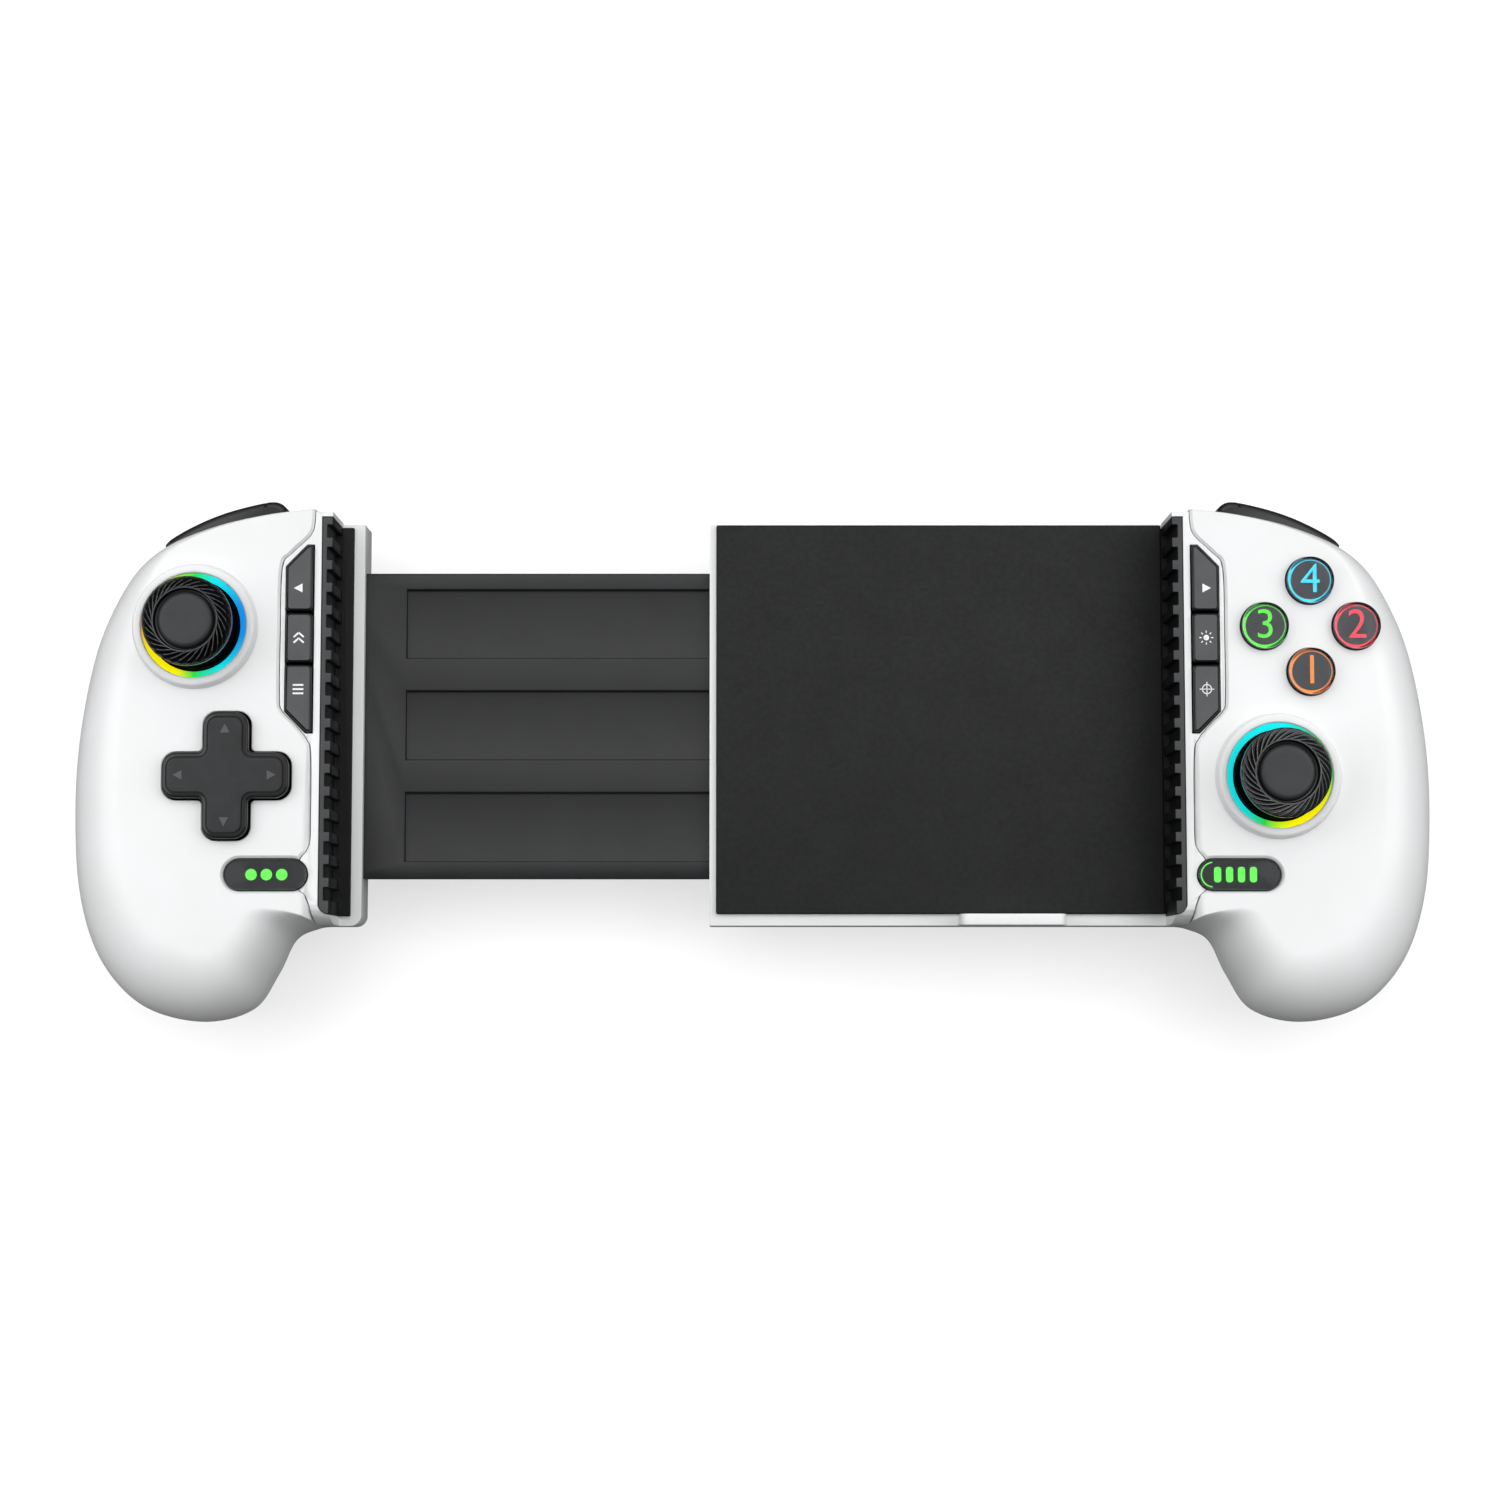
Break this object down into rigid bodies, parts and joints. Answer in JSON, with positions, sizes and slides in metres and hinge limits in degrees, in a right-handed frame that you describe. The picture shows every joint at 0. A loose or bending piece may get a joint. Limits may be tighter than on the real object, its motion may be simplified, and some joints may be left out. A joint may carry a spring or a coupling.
{
  "type": "telescopic phone gamepad",
  "caption": "Two-grip game controller that slides apart to hold a phone between ribbed jaws, with thumb sticks, a direction pad, face buttons, keys, bumpers and triggers.",
  "frame": {"origin": "middle of the bounding box's underside, the table that the part lies on, face up", "axes": "+X to the right-hand grip, +Y to the shoulder buttons, +Z out of the front face"},
  "size_m": [0.2452, 0.095, 0.044],
  "materials": {
    "shell_white": "satin moulded ABS",
    "trim_black": "polished moulded ABS",
    "jaw_rubber": "moulded elastomer",
    "stick_rubber": "moulded elastomer",
    "key_grey": "satin moulded ABS",
    "pad_black": "fine textured ABS",
    "button_clear": "clear polished acrylic",
    "button_core": "dark printed core",
    "light_diffuser": "frosted polycarbonate",
    "slider_black": "moulded nylon",
    "module_black": "moulded nylon",
    "silicone_grey": "moulded silicone",
    "board_green": "solder mask",
    "plain_steel": "drawn steel",
    "cell_grey": "laminated pouch",
    "cable_amber": "polyimide film"
  },
  "bodies": {
    "right_grip": {"right_front_shell": "shell_white", "right_rear_shell": "shell_white", "right_jaw_frame": "shell_white", "right_jaw_comb": "jaw_rubber", "right_stick_collar": "shell_white", "right_light_ring": "light_diffuser", "right_stick_base": "module_black", "right_trigger_pin": "plain_steel", "right_boards": "board_green", "right_membrane": "silicone_grey", "right_screws": "plain_steel", "bridge_sleeve": "shell_white", "bridge_pad": "jaw_rubber", "bridge_springs": "plain_steel", "bridge_cable": "cable_amber", "usb_receptacle": "plain_steel"},
    "left_grip": {"left_front_shell": "shell_white", "left_rear_shell": "shell_white", "left_jaw_frame": "shell_white", "left_jaw_comb": "jaw_rubber", "left_stick_collar": "shell_white", "left_light_ring": "light_diffuser", "left_stick_base": "module_black", "left_trigger_pin": "plain_steel", "left_boards": "board_green", "left_membrane": "silicone_grey", "left_screws": "plain_steel", "slider_plate": "slider_black", "dpad_post": "module_black", "battery": "cell_grey"},
    "right_stick_tilt": {"right_stick_rocker": "module_black"},
    "right_stick_swing": {"right_stick_post": "plain_steel"},
    "right_stick_cap": {"right_stick_cap": "stick_rubber"},
    "right_key_upper": {"right_key_upper": "key_grey"},
    "right_key_middle": {"right_key_middle": "key_grey"},
    "right_key_lower": {"right_key_lower": "key_grey"},
    "right_pill_key": {"right_pill_key": "key_grey"},
    "right_bumper": {"right_bumper": "trim_black"},
    "right_trigger": {"right_trigger": "trim_black"},
    "left_stick_tilt": {"left_stick_rocker": "module_black"},
    "left_stick_swing": {"left_stick_post": "plain_steel"},
    "left_stick_cap": {"left_stick_cap": "stick_rubber"},
    "left_key_upper": {"left_key_upper": "key_grey"},
    "left_key_middle": {"left_key_middle": "key_grey"},
    "left_key_lower": {"left_key_lower": "key_grey"},
    "left_pill_key": {"left_pill_key": "key_grey"},
    "left_bumper": {"left_bumper": "trim_black"},
    "left_trigger": {"left_trigger": "trim_black"},
    "face_button_top": {"face_button_top": "button_clear", "face_core_top": "button_core"},
    "face_button_left": {"face_button_left": "button_clear", "face_core_left": "button_core"},
    "face_button_right": {"face_button_right": "button_clear", "face_core_right": "button_core"},
    "face_button_bottom": {"face_button_bottom": "button_clear", "face_core_bottom": "button_core"},
    "dpad_cross": {"dpad_spider": "plain_steel"},
    "dpad": {"dpad": "pad_black"}
  },
  "joints": [
    {"name": "bridge_slide", "type": "slide", "parent": "right_grip", "child": "left_grip", "axis": [-1, 0, 0], "range_m": [-0.03, 0.026], "deforming": ["bridge_springs", "bridge_cable"]},
    {"name": "right_stick_tilt", "type": "hinge", "parent": "right_grip", "child": "right_stick_tilt", "pos_m": [0.0932, -0.0042, 0.025], "axis": [1, 0, 0], "range_deg": [-13, 13], "stiffness_Nm_per_rad": 0.05},
    {"name": "right_stick_swing", "type": "hinge", "parent": "right_stick_tilt", "child": "right_stick_swing", "pos_m": [0.0932, -0.0042, 0.025], "axis": [0, 1, 0], "range_deg": [-13, 13], "stiffness_Nm_per_rad": 0.05},
    {"name": "right_stick_cap_press", "type": "slide", "parent": "right_stick_swing", "child": "right_stick_cap", "axis": [0, 0, -1], "range_m": [0, 0.0005], "stiffness_N_per_m": 800, "springref_m": -0.001},
    {"name": "right_key_upper_press", "type": "slide", "parent": "right_grip", "child": "right_key_upper", "axis": [0, 0, -1], "range_m": [0, 0.0005], "stiffness_N_per_m": 400, "springref_m": -0.001},
    {"name": "right_key_middle_press", "type": "slide", "parent": "right_grip", "child": "right_key_middle", "axis": [0, 0, -1], "range_m": [0, 0.0005], "stiffness_N_per_m": 400, "springref_m": -0.001},
    {"name": "right_key_lower_press", "type": "slide", "parent": "right_grip", "child": "right_key_lower", "axis": [0, 0, -1], "range_m": [0, 0.0005], "stiffness_N_per_m": 400, "springref_m": -0.001},
    {"name": "right_pill_key_press", "type": "slide", "parent": "right_grip", "child": "right_pill_key", "axis": [0, 0, -1], "range_m": [0, 0.0005], "stiffness_N_per_m": 400, "springref_m": -0.001},
    {"name": "right_bumper_press", "type": "slide", "parent": "right_grip", "child": "right_bumper", "axis": [-0.2672, -0.9636, 0], "range_m": [0, 0.0008], "stiffness_N_per_m": 500, "springref_m": -0.001},
    {"name": "right_trigger_pull", "type": "hinge", "parent": "right_grip", "child": "right_trigger", "pos_m": [0.0934, 0.03931, 0.0152], "axis": [-0.9636, 0.2672, 0], "range_deg": [0, 12], "stiffness_Nm_per_rad": 0.05, "springref_deg": -17.19},
    {"name": "left_stick_tilt", "type": "hinge", "parent": "left_grip", "child": "left_stick_tilt", "pos_m": [-0.0992, 0.0225, 0.025], "axis": [1, 0, 0], "range_deg": [-13, 13], "stiffness_Nm_per_rad": 0.05},
    {"name": "left_stick_swing", "type": "hinge", "parent": "left_stick_tilt", "child": "left_stick_swing", "pos_m": [-0.0992, 0.0225, 0.025], "axis": [0, 1, 0], "range_deg": [-13, 13], "stiffness_Nm_per_rad": 0.05},
    {"name": "left_stick_cap_press", "type": "slide", "parent": "left_stick_swing", "child": "left_stick_cap", "axis": [0, 0, -1], "range_m": [0, 0.0005], "stiffness_N_per_m": 800, "springref_m": -0.001},
    {"name": "left_key_upper_press", "type": "slide", "parent": "left_grip", "child": "left_key_upper", "axis": [0, 0, -1], "range_m": [0, 0.0005], "stiffness_N_per_m": 400, "springref_m": -0.001},
    {"name": "left_key_middle_press", "type": "slide", "parent": "left_grip", "child": "left_key_middle", "axis": [0, 0, -1], "range_m": [0, 0.0005], "stiffness_N_per_m": 400, "springref_m": -0.001},
    {"name": "left_key_lower_press", "type": "slide", "parent": "left_grip", "child": "left_key_lower", "axis": [0, 0, -1], "range_m": [0, 0.0005], "stiffness_N_per_m": 400, "springref_m": -0.001},
    {"name": "left_pill_key_press", "type": "slide", "parent": "left_grip", "child": "left_pill_key", "axis": [0, 0, -1], "range_m": [0, 0.0005], "stiffness_N_per_m": 400, "springref_m": -0.001},
    {"name": "left_bumper_press", "type": "slide", "parent": "left_grip", "child": "left_bumper", "axis": [0.2672, -0.9636, 0], "range_m": [0, 0.0008], "stiffness_N_per_m": 500, "springref_m": -0.001},
    {"name": "left_trigger_pull", "type": "hinge", "parent": "left_grip", "child": "left_trigger", "pos_m": [-0.0934, 0.03931, 0.0152], "axis": [-0.9636, -0.2672, 0], "range_deg": [0, 12], "stiffness_Nm_per_rad": 0.05, "springref_deg": -17.19},
    {"name": "face_button_top_press", "type": "slide", "parent": "right_grip", "child": "face_button_top", "axis": [0, 0, -1], "range_m": [0, 0.001], "stiffness_N_per_m": 400, "springref_m": -0.001},
    {"name": "face_button_left_press", "type": "slide", "parent": "right_grip", "child": "face_button_left", "axis": [0, 0, -1], "range_m": [0, 0.001], "stiffness_N_per_m": 400, "springref_m": -0.001},
    {"name": "face_button_right_press", "type": "slide", "parent": "right_grip", "child": "face_button_right", "axis": [0, 0, -1], "range_m": [0, 0.001], "stiffness_N_per_m": 400, "springref_m": -0.001},
    {"name": "face_button_bottom_press", "type": "slide", "parent": "right_grip", "child": "face_button_bottom", "axis": [0, 0, -1], "range_m": [0, 0.001], "stiffness_N_per_m": 400, "springref_m": -0.001},
    {"name": "dpad_nod", "type": "hinge", "parent": "left_grip", "child": "dpad_cross", "pos_m": [-0.0932, -0.0042, 0.0302], "axis": [1, 0, 0], "range_deg": [-3, 3], "stiffness_Nm_per_rad": 0.1},
    {"name": "dpad_rock", "type": "hinge", "parent": "dpad_cross", "child": "dpad", "pos_m": [-0.0932, -0.0042, 0.0302], "axis": [0, 1, 0], "range_deg": [-3, 3], "stiffness_Nm_per_rad": 0.1}
  ]
}
